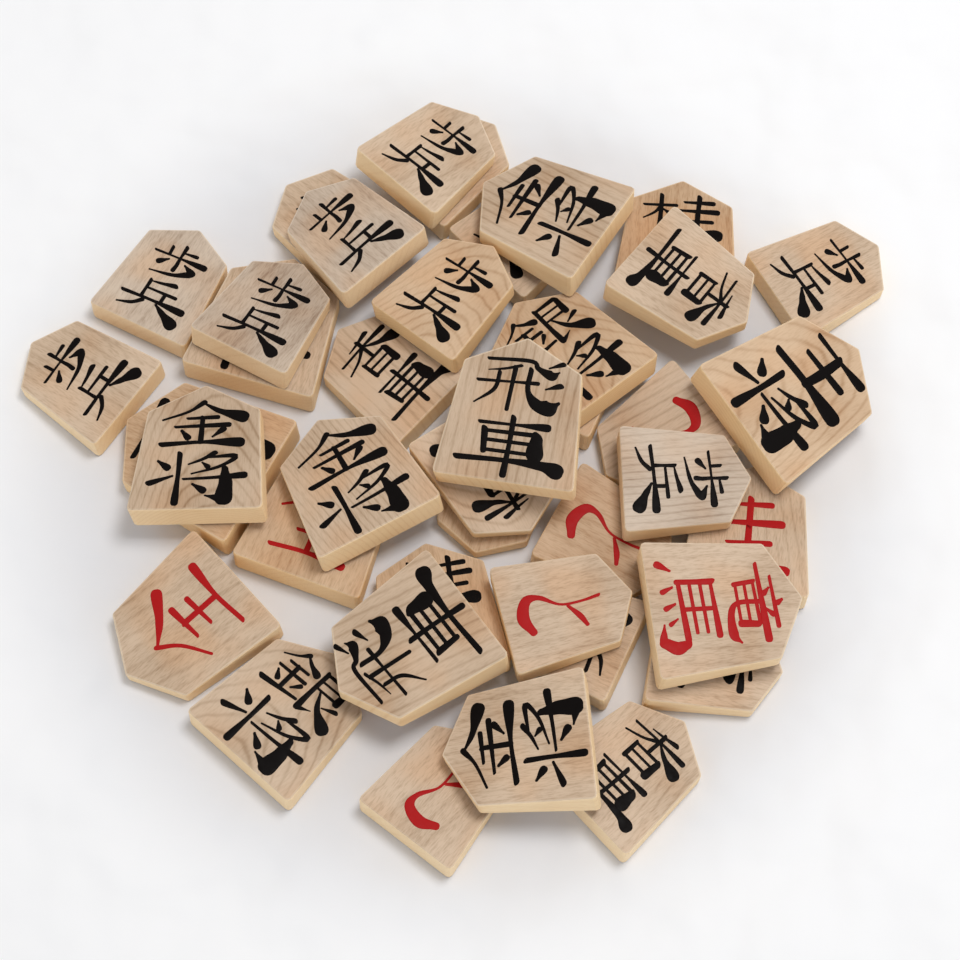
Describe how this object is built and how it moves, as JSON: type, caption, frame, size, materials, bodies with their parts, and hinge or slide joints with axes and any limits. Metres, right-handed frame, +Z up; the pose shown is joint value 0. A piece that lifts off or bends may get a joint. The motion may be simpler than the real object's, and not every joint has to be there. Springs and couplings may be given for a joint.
{
  "type": "shogi pieces, heaped set",
  "caption": "Wedge-shaped five-sided wooden shogi pieces, a full set tipped out in a loose heap, black side and red promoted side showing.",
  "frame": {"origin": "on the table, under the middle of the heap", "axes": "+Z up from the table, -Y towards the viewer, +X to the viewer's right"},
  "size_m": [0.1708, 0.159, 0.0203],
  "materials": {
    "wood_pale": "bare pale maple, satin",
    "wood_warm": "bare orange-toned maple, satin",
    "wood_grey": "bare grey-toned maple, satin"
  },
  "bodies": {
    "root": {"pawn_01": "wood_pale", "pawn_02": "wood_pale", "pawn_03": "wood_pale", "pawn_04": "wood_grey", "pawn_05": "wood_pale", "pawn_06": "wood_pale", "pawn_07": "wood_pale", "pawn_08": "wood_pale", "pawn_09": "wood_pale", "pawn_10": "wood_pale", "pawn_11": "wood_warm", "pawn_12": "wood_warm", "pawn_13": "wood_pale", "pawn_14": "wood_grey", "pawn_15": "wood_warm", "pawn_16": "wood_grey", "pawn_17": "wood_pale", "pawn_18": "wood_grey", "lance_1": "wood_pale", "lance_2": "wood_pale", "lance_3": "wood_pale", "lance_4": "wood_pale", "knight_1": "wood_warm", "knight_2": "wood_pale", "knight_3": "wood_warm", "knight_4": "wood_warm", "silver_1": "wood_warm", "silver_2": "wood_pale", "silver_3": "wood_pale", "silver_4": "wood_warm", "gold_1": "wood_pale", "gold_2": "wood_pale", "gold_3": "wood_pale", "gold_4": "wood_pale", "bishop_1": "wood_pale", "bishop_2": "wood_pale", "rook_1": "wood_pale", "rook_2": "wood_pale", "king_1": "wood_warm", "king_2": "wood_warm"}
  },
  "joints": []
}
